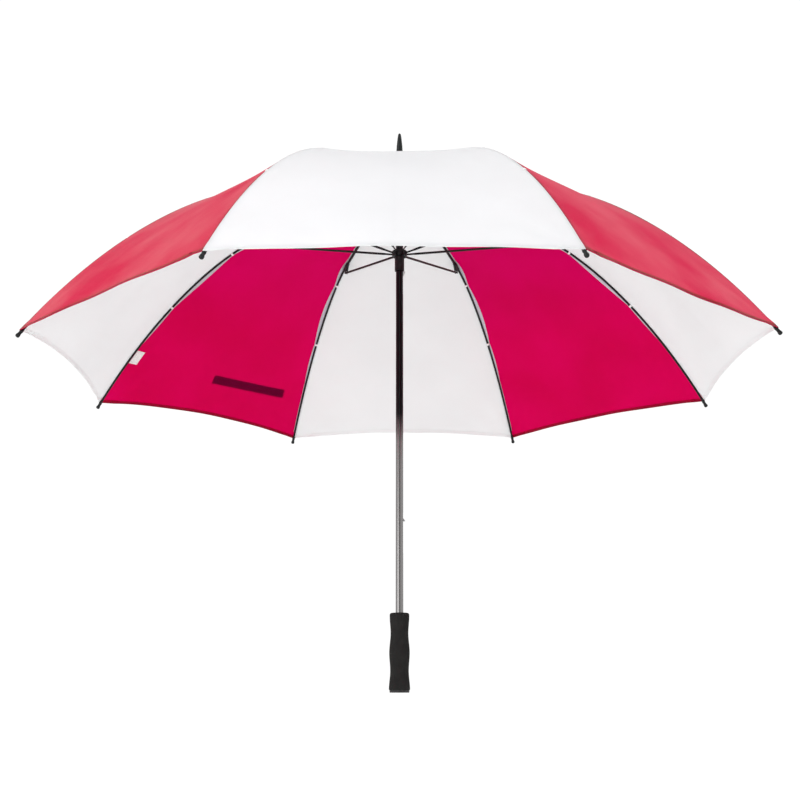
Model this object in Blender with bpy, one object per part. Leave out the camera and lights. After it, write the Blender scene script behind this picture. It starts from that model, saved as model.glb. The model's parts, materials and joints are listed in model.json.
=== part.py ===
"""Eight-rib manual golf umbrella, open and upright, in metres.

Origin: centre of the grip's flat end. +Z runs up the shaft. -Y is the front, where panel_1 is.
The ribs, stretchers and panels repeat round the shaft, numbered 1 to 8 anticlockwise from above.
"""

import math

import bmesh
import bpy
from mathutils import Matrix, Vector

# Driving dimensions
RIB_COUNT = 8
RIB_STEP = 2 * math.pi / RIB_COUNT
FIRST_RIB_ANGLE = math.radians(-112.5)

SHAFT_RADIUS = 0.0065
SHAFT_WALL = 0.0008
SHAFT_BOTTOM_Z = 0.0088
SHAFT_TOP_Z = 0.9120
CLEARANCE = 0.0003

CROWN_PIVOT_Z = 0.8943      # pins of the inner ribs, in the top notch
HUB_PIVOT_Z = 0.7737        # slots of the stretchers, in the open runner
HUB_PIVOT_RADIUS = 0.0105   # the same for both, so the linkage folds as an isosceles triangle
JOINT_RADIUS = 0.294        # where a stretcher meets its rib
JOINT_Z = (CROWN_PIVOT_Z + HUB_PIVOT_Z) / 2
CLOSED_ANGLE = math.radians(87.5)
OPEN_ANGLE = math.atan2(CROWN_PIVOT_Z - JOINT_Z, JOINT_RADIUS - HUB_PIVOT_RADIUS)
LINK_LENGTH = math.hypot(CROWN_PIVOT_Z - JOINT_Z, JOINT_RADIUS - HUB_PIVOT_RADIUS)
RUNNER_TRAVEL = 2 * LINK_LENGTH * (math.sin(CLOSED_ANGLE) - math.sin(OPEN_ANGLE))

INNER_RIB_RADIUS = 0.0023
OUTER_RIB_RADIUS = 0.0018
INNER_SLOPES = (math.radians(2.5), math.radians(16.5))
INNER_RIB_LENGTH = 0.28898
OUTER_SLOPES = (math.radians(10.2), math.radians(55.36))
OUTER_RIB_LENGTH = 0.4740
OUTER_BEND_POWER = 0.5      # the outer rib bends most just past its joint

BLADE_HALF_WIDTH = 0.0009
BLADE_HALF_HEIGHT = 0.0016
BLADE_LENGTH = 0.016
SLOT_HALF_WIDTH = 0.00125
EYE_RADIUS = 0.0009
NOTCH_RADIUS = 0.0135
HUB_SKIRT_RADIUS = 0.0086   # round part below the slotted flange, on the top notch and the runner
SLOT_FLOOR_RADIUS = 0.0080  # how deep the slots of both go
WIRE_RADIUS = 0.00045

TIP_LENGTH = 0.017
TIP_RADIUS = 0.0031

FABRIC_OFFSET = 0.0048      # underside of the panels above the rib axis
FABRIC_THICKNESS = 0.0008
FABRIC_SAG = 0.006
HEM_SHARE = 0.985           # where a hem meets its ribs, as a share of the rib
HEM_SCALLOP = 0.016         # how far the middle of a hem is drawn up, as a share of the rib
PANEL_ROWS = 10
PANEL_COLUMNS = 6
PANEL_INNER_RADIUS = 0.0115
STRAP_SHARES = (0.8385, 0.864)
STRAP_ACROSSES = (-0.757, 0.075)
STRAP_THICKNESS = 0.0012
LABEL_SHARES = (0.817, 0.857)
LABEL_ACROSSES = (0.905, 0.985)
LABEL_THICKNESS = 0.0006

CATCH_SLOT_HALF_WIDTH = 0.0016
CATCH_HALF_THICKNESS = 0.0012
CATCH_LEAF_THICKNESS = 0.0012
CATCH_REACH = 0.0099        # how far a catch's wedge stands out from the shaft's axis
TOP_SLOT = (0.6960, 0.7415)
TOP_CATCH = (0.6980, 0.7200, 0.7396)
BOTTOM_SLOT = (0.2320, 0.3020)
BOTTOM_CATCH = (0.3005, 0.2985, 0.2862)

CROWN_CAP_BOTTOM_Z = 0.9009
FERRULE_BOTTOM_Z = 0.9043

COLLAR_HALF_LENGTH = 0.0055
COLLAR_RADIUS = 0.0034
LUG_RADIUS = 0.0024
RIVET_RADIUS = 0.00085

GRIP_BOTTOM_Z = 0.0043
GRIP_TOP_Z = 0.1310
GRIP_SWELLS = (0.0178, 0.0166)      # radius of the lowest and the highest swell
GRIP_WAIST_DEPTH = 0.0019
GRIP_ROUNDING = 0.0035
END_CAP_RADIUS = 0.0166


def material(name, color, roughness, metallic=0.0):
    """Return a plain Principled material, made once for each name."""
    found = bpy.data.materials.get(name)
    if found:
        return found
    made = bpy.data.materials.new(name)
    made.use_nodes = True
    shader = made.node_tree.nodes["Principled BSDF"]
    shader.inputs["Base Color"].default_value = (*color, 1.0)
    shader.inputs["Roughness"].default_value = roughness
    shader.inputs["Metallic"].default_value = metallic
    made.diffuse_color = (*color, 1.0)
    return made


def gunmetal():
    return material("gunmetal_shaft", (0.12, 0.12, 0.125), 0.35, 0.9)


def black_plastic():
    return material("black_plastic", (0.015, 0.015, 0.016), 0.45)


def black_fibreglass():
    return material("black_fibreglass", (0.02, 0.02, 0.022), 0.35)


def spring_steel():
    return material("spring_steel", (0.55, 0.55, 0.56), 0.3, 1.0)


def grip_foam():
    return material("grip_foam", (0.028, 0.028, 0.028), 0.8)


def fabric(red):
    if red:
        return material("red_fabric", (0.72, 0.01, 0.06), 0.6)
    return material("white_fabric", (0.87, 0.87, 0.88), 0.6)


def add_object(name, mesh_builder, finish, parent=None, location=(0, 0, 0)):
    """Make a named object from a bmesh, shaded smooth except at its sharp edges."""
    mesh = bpy.data.meshes.new(name)
    bmesh.ops.recalc_face_normals(mesh_builder, faces=mesh_builder.faces)
    mesh_builder.to_mesh(mesh)
    mesh_builder.free()
    mesh.shade_smooth()
    mesh.set_sharp_from_angle(angle=math.radians(40))
    piece = bpy.data.objects.new(name, mesh)
    bpy.context.scene.collection.objects.link(piece)
    mesh.materials.append(finish)
    piece.parent = parent
    piece.location = location
    return piece


def add_pivot(name, radius, z, angle):
    """An empty on a joint: +X points away from the shaft and +Y along the joint's axis."""
    pivot = bpy.data.objects.new(name, None)
    pivot.empty_display_size = 0.02
    bpy.context.scene.collection.objects.link(pivot)
    pivot.location = (radius * math.cos(angle), radius * math.sin(angle), z)
    pivot.rotation_euler = (0, 0, angle)
    return pivot


def cut(piece, cutter, operation="DIFFERENCE"):
    """Cut or join with a hidden helper object, by an exact Boolean."""
    cutter.hide_render = True
    cutter.display_type = "WIRE"
    modifier = piece.modifiers.new(cutter.name, "BOOLEAN")
    modifier.solver = "EXACT"
    modifier.operation = operation
    modifier.object = cutter


def turned(profile, segments=32):
    """Turn a closed (radius, z) outline that stays off the axis into a ring-shaped solid."""
    shape = bmesh.new()
    rings = []
    for step in range(segments):
        angle = 2 * math.pi * step / segments
        ring = []
        for radius, z in profile:
            ring.append(shape.verts.new((radius * math.cos(angle), radius * math.sin(angle), z)))
        rings.append(ring)
    count = len(profile)
    for step in range(segments):
        here = rings[step]
        after = rings[(step + 1) % segments]
        for k in range(count):
            nxt = (k + 1) % count
            shape.faces.new((here[k], after[k], after[nxt], here[nxt]))
    return shape


def capped(profile, segments=32):
    """Turn an open (radius, z) outline, bottom to top, and close both ends with flat faces."""
    shape = bmesh.new()
    rings = []
    for radius, z in profile:
        ring = []
        for step in range(segments):
            angle = 2 * math.pi * step / segments
            ring.append(shape.verts.new((radius * math.cos(angle), radius * math.sin(angle), z)))
        rings.append(ring)
    for low, high in zip(rings, rings[1:]):
        for step in range(segments):
            nxt = (step + 1) % segments
            shape.faces.new((low[step], low[nxt], high[nxt], high[step]))
    shape.faces.new(list(reversed(rings[0])))
    shape.faces.new(rings[-1])
    return shape


def block(low, high):
    """A box between two corners."""
    shape = bmesh.new()
    size = Vector(high) - Vector(low)
    middle = (Vector(high) + Vector(low)) / 2
    bmesh.ops.create_cube(shape, size=1.0, matrix=Matrix.Translation(middle) @ Matrix.Diagonal((*size, 1)))
    return shape


def plate(outline, half_thickness):
    """Extrude an outline in the XZ plane along Y, both ways."""
    shape = bmesh.new()
    near = [shape.verts.new((x, -half_thickness, z)) for x, z in outline]
    far = [shape.verts.new((x, half_thickness, z)) for x, z in outline]
    shape.faces.new(near)
    shape.faces.new(list(reversed(far)))
    for k in range(len(outline)):
        nxt = (k + 1) % len(outline)
        shape.faces.new((near[k], far[k], far[nxt], near[nxt]))
    return shape


def loft(stations, sides=8):
    """Join oval sections along a path in the XZ plane.

    Each station is (x, z, slope, half_width, half_height). A section's corners are at half steps,
    so that it has flat sides, top and bottom.
    """
    shape = bmesh.new()
    rings = []
    for x, z, slope, half_width, half_height in stations:
        ring = []
        for k in range(sides):
            turn = 2 * math.pi * (k + 0.5) / sides
            across = half_width * math.cos(turn) / math.cos(math.pi / sides)
            up = half_height * math.sin(turn) / math.cos(math.pi / sides)
            ring.append(shape.verts.new((x + up * math.sin(slope), across, z + up * math.cos(slope))))
        rings.append(ring)
    for here, after in zip(rings, rings[1:]):
        for k in range(sides):
            nxt = (k + 1) % sides
            shape.faces.new((here[k], here[nxt], after[nxt], after[k]))
    shape.faces.new(list(reversed(rings[0])))
    shape.faces.new(rings[-1])
    return shape


def bent_rod(start, slopes, length, power=1.0, steps=24):
    """Points (radius, z, slope) along a rod whose slope below level grows along its length."""
    points = []
    radius, z = start
    first, last = slopes
    for k in range(steps + 1):
        slope = first + (last - first) * (k / steps) ** power
        points.append((radius, z, slope))
        middle = first + (last - first) * ((k + 0.5) / steps) ** power
        radius += math.cos(middle) * length / steps
        z -= math.sin(middle) * length / steps
    return points


def inner_curve(steps=24):
    return bent_rod((HUB_PIVOT_RADIUS, CROWN_PIVOT_Z), INNER_SLOPES, INNER_RIB_LENGTH, steps=steps)


def outer_curve(steps=24):
    start = inner_curve()[-1][:2]
    return bent_rod(start, OUTER_SLOPES, OUTER_RIB_LENGTH, OUTER_BEND_POWER, steps)


def rib_angle(number):
    return FIRST_RIB_ANGLE + RIB_STEP * (number - 1)


def make_shaft():
    """A straight steel tube, with a slot on its +X side for each catch."""
    inside = SHAFT_RADIUS - SHAFT_WALL
    outline = [
        (SHAFT_RADIUS, SHAFT_BOTTOM_Z),
        (SHAFT_RADIUS, SHAFT_TOP_Z),
        (inside, SHAFT_TOP_Z),
        (inside, SHAFT_BOTTOM_Z),
    ]
    shaft = add_object("shaft", turned(outline), gunmetal())
    half = CATCH_SLOT_HALF_WIDTH
    near, far = SHAFT_RADIUS - 0.0035, SHAFT_RADIUS + 0.0025
    for name, (low, high) in (("top_slot_cutter", TOP_SLOT), ("bottom_slot_cutter", BOTTOM_SLOT)):
        cut(shaft, add_object(name, block((near, -half, low), (far, half, high)), gunmetal()))


def catch_outline(tail_z, point_z, shoulder_z):
    """A leaf inside the tube with a wedge through the slot; the shoulder is its square end."""
    leaf_back = 0.0002
    leaf_front = leaf_back + CATCH_LEAF_THICKNESS
    reach = CATCH_REACH
    end_z = shoulder_z + math.copysign(CATCH_LEAF_THICKNESS, shoulder_z - tail_z)
    return [
        (leaf_back, tail_z),
        (leaf_back, end_z),
        (leaf_front, end_z),
        (leaf_front, shoulder_z),
        (reach, shoulder_z),
        (reach, shoulder_z + (tail_z - shoulder_z) * 0.06),
        (leaf_front, point_z),
        (leaf_front, tail_z),
    ]


def make_catches():
    """Sprung catches: the top one stops the open runner, the bottom one the closed runner."""
    for name, places in (("top_spring_catch", TOP_CATCH), ("bottom_spring_catch", BOTTOM_CATCH)):
        add_object(name, plate(catch_outline(*places), CATCH_HALF_THICKNESS), spring_steel())


def radial_slots(name, low_z, high_z):
    """Eight slot cutters as one object, open outward, top and bottom."""
    shape = bmesh.new()
    for number in range(1, RIB_COUNT + 1):
        low = Vector((SLOT_FLOOR_RADIUS, -SLOT_HALF_WIDTH, low_z))
        high = Vector((0.03, SLOT_HALF_WIDTH, high_z))
        placed = Matrix.Rotation(rib_angle(number), 4, "Z") @ Matrix.Translation((low + high) / 2)
        bmesh.ops.create_cube(shape, size=1.0, matrix=placed @ Matrix.Diagonal((*(high - low), 1)))
    return add_object(name, shape, black_plastic())


def wire_ring(name, thickness, finish):
    """A ring of round wire that the eyes of the inner ribs thread on."""
    outline = []
    for k in range(5):
        turn = 2 * math.pi * k / 5
        radius = HUB_PIVOT_RADIUS + thickness * math.cos(turn)
        outline.append((radius, CROWN_PIVOT_Z + thickness * math.sin(turn)))
    return add_object(name, turned(outline, 32), finish)


def make_top_notch():
    """The slotted crown that the ribs hinge in, and the wire ring through their eyes."""
    bore = SHAFT_RADIUS + CLEARANCE
    low, high = CROWN_PIVOT_Z - 0.0065, CROWN_PIVOT_Z + 0.0024
    outline = [
        (bore, low - 0.004),
        (HUB_SKIRT_RADIUS, low - 0.004),
        (HUB_SKIRT_RADIUS, low),
        (NOTCH_RADIUS, low),
        (NOTCH_RADIUS, high),
        (bore, high),
    ]
    notch = add_object("top_notch", turned(outline), black_plastic())
    cut(notch, radial_slots("top_notch_slot_cutter", low - 0.002, high + 0.002))
    cut(notch, wire_ring("wire_groove_cutter", 0.00085, black_plastic()))
    wire_ring("top_notch_wire", WIRE_RADIUS, spring_steel())


def make_crown_cap():
    """The washer that holds the panels' points down on the top notch."""
    bore = SHAFT_RADIUS + CLEARANCE
    bottom, top = CROWN_CAP_BOTTOM_Z, CROWN_CAP_BOTTOM_Z + 0.0031
    outline = [
        (bore, bottom),
        (0.0160, bottom),
        (0.0170, bottom + 0.0006),
        (0.0160, bottom + 0.0015),
        (0.0110, top),
        (bore, top),
    ]
    add_object("crown_cap", turned(outline), black_plastic())


def make_ferrule():
    """The tapered spike that closes the shaft's top, blind bored from below."""
    outline = [
        (0.0084, FERRULE_BOTTOM_Z),
        (0.0084, 0.9135),
        (0.0068, 0.9180),
        (0.0062, 0.9320),
        (0.0060, 0.9700),
        (0.0053, 0.9860),
        (0.0036, 1.0020),
        (0.0026, 1.0085),
        (0.0013, 1.0105),
    ]
    ferrule = add_object("ferrule", capped(outline, 28), black_plastic())
    radius = SHAFT_RADIUS + CLEARANCE
    bore = [(radius, FERRULE_BOTTOM_Z - 0.0043), (radius, SHAFT_TOP_Z + 0.0004)]
    cut(ferrule, add_object("ferrule_bore_cutter", capped(bore, 28), black_plastic()))


def make_runner():
    """The sliding hub: eight stretcher slots round its flange, and a slit that passes the catches."""
    bore = SHAFT_RADIUS + CLEARANCE
    bottom, flange = HUB_PIVOT_Z - 0.033, HUB_PIVOT_Z - 0.0055
    top = HUB_PIVOT_Z + 0.0045
    outline = [
        (bore, bottom),
        (HUB_SKIRT_RADIUS, bottom),
        (HUB_SKIRT_RADIUS, flange),
        (NOTCH_RADIUS, flange),
        (NOTCH_RADIUS, top),
        (bore, top),
    ]
    runner = add_object("runner", turned(outline, 40), black_plastic())
    cut(runner, radial_slots("runner_slot_cutter", flange - 0.003, top + 0.002))
    slit = block((0.004, -0.0015, bottom - 0.005), (0.0104, 0.0015, top + 0.005))
    cut(runner, add_object("runner_slit_cutter", slit, black_plastic()))


def grip_radius(share):
    """Three swells and two waists, from the bottom of the grip, 0, to its top, 1."""
    first, last = GRIP_SWELLS
    wave = 0.5 - 0.5 * math.cos(4 * math.pi * share)
    return first + (last - first) * share - GRIP_WAIST_DEPTH * wave


def make_grip():
    """Foam grip with a blind bore for the shaft, and the hard disc that closes its end."""
    outline = []
    low, high = GRIP_BOTTOM_Z, GRIP_TOP_Z - GRIP_ROUNDING
    for k in range(15):
        outline.append((grip_radius(k / 14), low + (high - low) * k / 14))
    for k in range(1, 5):
        turn = math.pi / 2 * k / 4
        inset = GRIP_ROUNDING * (1 - math.cos(turn))
        outline.append((grip_radius(1) - inset, high + GRIP_ROUNDING * math.sin(turn)))
    grip = add_object("grip", capped(outline, 24), grip_foam())
    bore = SHAFT_RADIUS + CLEARANCE
    hole = [(bore, SHAFT_BOTTOM_Z - CLEARANCE), (bore, GRIP_TOP_Z + 0.01)]
    cut(grip, add_object("grip_bore_cutter", capped(hole, 24), grip_foam()))
    top = GRIP_BOTTOM_Z - CLEARANCE
    cap = [(END_CAP_RADIUS - 0.0008, 0.0), (END_CAP_RADIUS, 0.0007), (END_CAP_RADIUS, top)]
    add_object("grip_end_cap", capped(cap, 32), black_plastic())


def make_inner_rib(number, pivot):
    """Rib from the top notch to just past its joint: a blade with an eye, then a round rod."""
    stations = []
    for k, (radius, z, slope) in enumerate(inner_curve(9)):
        x = radius - HUB_PIVOT_RADIUS
        if k == 0:
            stations.append((-0.0016, 0.0, slope, BLADE_HALF_WIDTH, BLADE_HALF_HEIGHT))
            stations.append((BLADE_LENGTH * 0.55, -0.0004, slope, BLADE_HALF_WIDTH, BLADE_HALF_HEIGHT))
            continue
        stations.append((x, z - CROWN_PIVOT_Z, slope, INNER_RIB_RADIUS, INNER_RIB_RADIUS))
    x, z, slope = stations[-1][:3]
    back = OUTER_RIB_RADIUS + 0.0007
    end = (x - back * math.cos(slope), z + back * math.sin(slope))
    stations[-1] = (*end, slope, INNER_RIB_RADIUS, INNER_RIB_RADIUS)
    name = f"inner_rib_{number}"
    rib = add_object(name, loft(stations), black_fibreglass(), pivot)
    eye_profile = [(EYE_RADIUS, -0.004), (EYE_RADIUS, 0.004)]
    eye = add_object(f"{name}_eye_cutter", capped(eye_profile, 8), gunmetal(), pivot)
    eye.rotation_euler = (math.pi / 2, 0, 0)
    cut(rib, eye)


def joint_frame():
    """Where the rib axis passes over the stretcher's pin: (radius, z, slope)."""
    points = inner_curve(96)
    return min(points, key=lambda point: abs(point[0] - (JOINT_RADIUS - 0.0062)))


def make_joint_collar(number, pivot):
    """Sleeve on the rib with two lugs and the pin that a stretcher turns on, as one riveted piece."""
    gap = BLADE_HALF_WIDTH + CLEARANCE
    bore = INNER_RIB_RADIUS + CLEARANCE
    radius, z, slope = joint_frame()
    centre = (radius - HUB_PIVOT_RADIUS, z - CROWN_PIVOT_Z)
    pin = (JOINT_RADIUS - HUB_PIVOT_RADIUS, JOINT_Z - CROWN_PIVOT_Z)
    half = COLLAR_HALF_LENGTH

    def along(distance, up=0.0):
        x = centre[0] + distance * math.cos(slope) + up * math.sin(slope)
        return (x, centre[1] - distance * math.sin(slope) + up * math.cos(slope))

    name = f"joint_collar_{number}"
    size = (slope, COLLAR_RADIUS, COLLAR_RADIUS)
    outside = [(*along(-half), *size), (*along(half), *size)]
    collar = add_object(name, loft(outside), black_plastic(), pivot)
    outline = [along(-half + 0.001, -0.0022), along(half, -0.0022)]
    for k in range(6):
        turn = math.radians(20 - 200 * k / 5)
        outline.append((pin[0] + LUG_RADIUS * math.cos(turn), pin[1] + LUG_RADIUS * math.sin(turn)))
    cut(collar, add_object(f"{name}_lugs", plate(outline, 0.0027), black_plastic(), pivot), "UNION")
    low = (pin[0] - 0.02, -gap, pin[1] - 0.01)
    high = (pin[0] + 0.02, gap, pin[1] + 0.0040)
    cut(collar, add_object(f"{name}_gap_cutter", block(low, high), black_plastic(), pivot))
    hole = [(*along(-0.02), slope, bore, bore), (*along(0.02), slope, bore, bore)]
    cut(collar, add_object(f"{name}_bore_cutter", loft(hole), black_plastic(), pivot))
    rivet_profile = [(RIVET_RADIUS, -0.0031), (RIVET_RADIUS, 0.0031)]
    rivet = add_object(f"{name}_rivet", capped(rivet_profile, 8), gunmetal(), pivot)
    rivet.location = (pin[0], 0, pin[1])
    rivet.rotation_euler = (math.pi / 2, 0, 0)
    cut(collar, rivet, "UNION")


def make_stretcher(number, pivot):
    """Straight strut from the rib's joint down to the runner, bladed at both ends."""
    run = HUB_PIVOT_RADIUS - JOINT_RADIUS
    fall = HUB_PIVOT_Z - JOINT_Z
    slope = math.atan2(-fall, -run)
    unit = (run / LINK_LENGTH, fall / LINK_LENGTH)
    blade = (BLADE_HALF_WIDTH, BLADE_HALF_HEIGHT)
    wide = (0.0018, 0.0019)
    stations = []
    for distance, size in (
        (-0.0019, blade),
        (0.009, blade),
        (0.013, wide),
        (LINK_LENGTH - 0.022, wide),
        (LINK_LENGTH - BLADE_LENGTH, blade),
        (LINK_LENGTH + 0.0014, blade),
    ):
        stations.append((distance * unit[0], distance * unit[1], -slope, *size))
    name = f"stretcher_{number}"
    strut = add_object(name, loft(stations), black_fibreglass(), pivot)
    eye_profile = [(EYE_RADIUS + CLEARANCE, -0.004), (EYE_RADIUS + CLEARANCE, 0.004)]
    eye = add_object(f"{name}_eye_cutter", capped(eye_profile, 8), gunmetal(), pivot)
    eye.rotation_euler = (math.pi / 2, 0, 0)
    cut(strut, eye)


def make_outer_rib(number, pivot):
    """Curved rod from the flexing joint to the rib's end, with a rounded inner end."""
    points = outer_curve(12)
    x0, z0 = points[0][:2]
    slope = points[0][2]
    stations = []
    for k in range(3, 0, -1):
        turn = math.radians(75) * k / 3
        x = -OUTER_RIB_RADIUS * math.sin(turn) * math.cos(slope)
        z = OUTER_RIB_RADIUS * math.sin(turn) * math.sin(slope)
        size = OUTER_RIB_RADIUS * math.cos(turn)
        stations.append((x, z, slope, size, size))
    for radius, z, slope in points:
        stations.append((radius - x0, z - z0, slope, OUTER_RIB_RADIUS, OUTER_RIB_RADIUS))
    inset = 0.004
    x, z, slope = stations[-1][:3]
    end = (x - inset * math.cos(slope), z + inset * math.sin(slope))
    stations[-1] = (*end, slope, OUTER_RIB_RADIUS, OUTER_RIB_RADIUS)
    add_object(f"outer_rib_{number}", loft(stations), black_fibreglass(), pivot)
    make_rib_tip(number, pivot, x, z, slope)


def make_rib_tip(number, pivot, x, z, slope):
    """Plastic cap over the rib's end, blind bored, that the panel's corner is sewn to."""
    def along(distance):
        return (x + distance * math.cos(slope), z - distance * math.sin(slope))

    stations = []
    for distance, radius in (
        (-TIP_LENGTH, 0.0025),
        (-TIP_LENGTH + 0.002, 0.0028),
        (-0.004, TIP_RADIUS),
        (-0.0015, TIP_RADIUS * 0.92),
        (0.0, TIP_RADIUS * 0.5),
    ):
        stations.append((*along(distance), slope, radius, radius))
    name = f"rib_tip_{number}"
    tip = add_object(name, loft(stations), black_plastic(), pivot)
    points = outer_curve(12)
    x0, z0 = points[0][:2]
    bore = OUTER_RIB_RADIUS + CLEARANCE
    hole = []
    for radius, height, bend in points[-3:-1]:
        hole.append((radius - x0, height - z0, bend, bore, bore))
    hole.append((*along(-0.0036), slope, bore, bore))
    cut(tip, add_object(f"{name}_bore_cutter", loft(hole), black_plastic(), pivot))


def dome_point(share, offset):
    """Point (radius, z) at a share of the whole rib, raised by offset across the rib."""
    inner, outer = inner_curve(24), outer_curve(24)
    length = INNER_RIB_LENGTH + OUTER_RIB_LENGTH
    joint = INNER_RIB_LENGTH / length
    if share < joint:
        place, points = share / joint * 24, inner
    else:
        place, points = (share - joint) / (1 - joint) * 24, outer
    k = min(int(place), 23)
    part = place - k
    radius, z, slope = (a + (b - a) * part for a, b in zip(points[k], points[k + 1]))
    blend = min(1.0, abs(share - joint) / 0.05)
    slope = slope if blend == 1.0 else slope * blend + math.radians(20) * (1 - blend)
    return (radius + offset * math.sin(slope), z + offset * math.cos(slope))


def panel_point(number, share, across, offset, inset=0.0):
    """Point on a panel: share runs crown to hem, across runs -1 to 1 from rib to rib."""
    radius, z = dome_point(share, offset)
    z -= FABRIC_SAG * (1 - across**2) * math.sin(math.pi * min(1.0, share)) ** 2
    first, second = rib_angle(number), rib_angle(number + 1)
    start = Vector((math.cos(first), math.sin(first), 0)) * radius
    end = Vector((math.cos(second), math.sin(second), 0)) * radius
    chord = (end - start).normalized()
    start += chord * inset
    end -= chord * inset
    point = start.lerp(end, (across + 1) / 2)
    point.z = z
    return point


def make_panel(number, parent):
    """One gore of the canopy: a thin closed solid over the ribs, with a scalloped hem."""
    shape = bmesh.new()
    layers = []
    crown = (PANEL_INNER_RADIUS - HUB_PIVOT_RADIUS) / (INNER_RIB_LENGTH + OUTER_RIB_LENGTH)
    for offset in (FABRIC_OFFSET, FABRIC_OFFSET + FABRIC_THICKNESS):
        rows = []
        for row in range(PANEL_ROWS + 1):
            line = []
            for column in range(PANEL_COLUMNS + 1):
                across = 2 * column / PANEL_COLUMNS - 1
                hem = HEM_SHARE - HEM_SCALLOP * (1 - across**2)
                share = crown + (hem - crown) * row / PANEL_ROWS
                line.append(shape.verts.new(panel_point(number, share, across, offset, CLEARANCE)))
            rows.append(line)
        layers.append(rows)
    low, high = layers
    for row in range(PANEL_ROWS):
        for column in range(PANEL_COLUMNS):
            for layer, flip in ((low, True), (high, False)):
                corners = [
                    layer[row][column],
                    layer[row + 1][column],
                    layer[row + 1][column + 1],
                    layer[row][column + 1],
                ]
                shape.faces.new(list(reversed(corners)) if flip else corners)
    edge = [(0, c) for c in range(PANEL_COLUMNS)]
    edge += [(r, PANEL_COLUMNS) for r in range(PANEL_ROWS)]
    edge += [(PANEL_ROWS, c) for c in range(PANEL_COLUMNS, 0, -1)]
    edge += [(r, 0) for r in range(PANEL_ROWS, 0, -1)]
    for (r0, c0), (r1, c1) in zip(edge, edge[1:] + edge[:1]):
        shape.faces.new((low[r0][c0], low[r1][c1], high[r1][c1], high[r0][c0]))
    panel = add_object(f"panel_{number}", shape, fabric(number % 2 == 0))
    panel.parent = parent
    panel.matrix_parent_inverse = parent_matrix(parent).inverted()


def parent_matrix(parent):
    return Matrix.Translation(parent.location) @ parent.rotation_euler.to_matrix().to_4x4()


def strip_over_panel(name, number, shares, acrosses, offset, thickness, finish, parent):
    """A flat strip of cloth lying along a panel, between two shares and two places across."""
    shape = bmesh.new()
    steps = 6
    rings = []
    for k in range(steps + 1):
        across = acrosses[0] + (acrosses[1] - acrosses[0]) * k / steps
        ring = []
        for share, height in (
            (shares[0], offset),
            (shares[1], offset),
            (shares[1], offset + thickness),
            (shares[0], offset + thickness),
        ):
            ring.append(shape.verts.new(panel_point(number, share, across, height)))
        rings.append(ring)
    for here, after in zip(rings, rings[1:]):
        for k in range(4):
            nxt = (k + 1) % 4
            shape.faces.new((here[k], here[nxt], after[nxt], after[k]))
    shape.faces.new(list(reversed(rings[0])))
    shape.faces.new(rings[-1])
    strip = add_object(name, shape, finish)
    strip.parent = parent
    strip.matrix_parent_inverse = parent_matrix(parent).inverted()


def make_umbrella():
    for old in list(bpy.data.objects):
        bpy.data.objects.remove(old, do_unlink=True)
    make_shaft()
    make_catches()
    make_top_notch()
    make_crown_cap()
    make_ferrule()
    make_runner()
    make_grip()
    hinge_radius, hinge_z = inner_curve()[-1][:2]
    for number in range(1, RIB_COUNT + 1):
        angle = rib_angle(number)
        crown = add_pivot(f"crown_pivot_{number}", HUB_PIVOT_RADIUS, CROWN_PIVOT_Z, angle)
        joint = add_pivot(f"joint_pivot_{number}", JOINT_RADIUS, JOINT_Z, angle)
        flex = add_pivot(f"flex_pivot_{number}", hinge_radius, hinge_z, angle)
        make_inner_rib(number, crown)
        make_joint_collar(number, crown)
        make_stretcher(number, joint)
        make_outer_rib(number, flex)
        make_panel(number, flex)
        if number == 6:
            gap = FABRIC_OFFSET + FABRIC_THICKNESS + 0.0006
            cloth = material("maroon_webbing", (0.09, 0.01, 0.015), 0.8)
            strip_over_panel(
                "closing_strap", 6, STRAP_SHARES, STRAP_ACROSSES, gap, STRAP_THICKNESS, cloth, flex)
        if number == 7:
            tag = material("white_tag", (0.85, 0.85, 0.83), 0.7)
            strip_over_panel(
                "care_label", 6, LABEL_SHARES, LABEL_ACROSSES, 0.0015, LABEL_THICKNESS, tag, flex)


make_umbrella()
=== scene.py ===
"""Looks of the open golf umbrella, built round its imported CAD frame, in metres.

Gore g lies between rib g and rib g + 1; even gores are red, odd ones white. On a gore, share runs
from 0 at the crown pivot to 1 at the rib's end, and across from -1 at rib g to 1 at rib g + 1.
"""

import json
import math

import bmesh
import bpy
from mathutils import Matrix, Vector, noise


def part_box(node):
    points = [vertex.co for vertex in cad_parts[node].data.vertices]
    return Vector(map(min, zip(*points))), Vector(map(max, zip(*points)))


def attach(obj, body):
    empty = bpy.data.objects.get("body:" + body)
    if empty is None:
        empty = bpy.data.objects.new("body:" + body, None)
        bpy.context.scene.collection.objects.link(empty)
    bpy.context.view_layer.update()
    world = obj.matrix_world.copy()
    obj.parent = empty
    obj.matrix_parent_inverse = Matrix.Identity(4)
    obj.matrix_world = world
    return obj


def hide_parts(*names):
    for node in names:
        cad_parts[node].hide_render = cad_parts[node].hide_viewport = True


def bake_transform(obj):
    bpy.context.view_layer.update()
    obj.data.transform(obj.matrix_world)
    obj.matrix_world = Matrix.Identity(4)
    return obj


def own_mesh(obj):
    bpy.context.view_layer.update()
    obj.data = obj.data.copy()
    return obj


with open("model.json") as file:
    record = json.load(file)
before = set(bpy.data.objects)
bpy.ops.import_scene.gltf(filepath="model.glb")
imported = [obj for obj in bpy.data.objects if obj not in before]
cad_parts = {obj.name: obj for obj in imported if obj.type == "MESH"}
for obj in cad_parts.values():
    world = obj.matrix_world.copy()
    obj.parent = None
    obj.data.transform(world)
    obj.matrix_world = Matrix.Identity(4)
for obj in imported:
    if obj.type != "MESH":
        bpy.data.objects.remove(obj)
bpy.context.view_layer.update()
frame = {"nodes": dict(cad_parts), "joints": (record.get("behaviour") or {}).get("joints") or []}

# The frame: rib joints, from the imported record
JOINTS = {joint["name"]: joint for joint in frame["joints"]}
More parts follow.
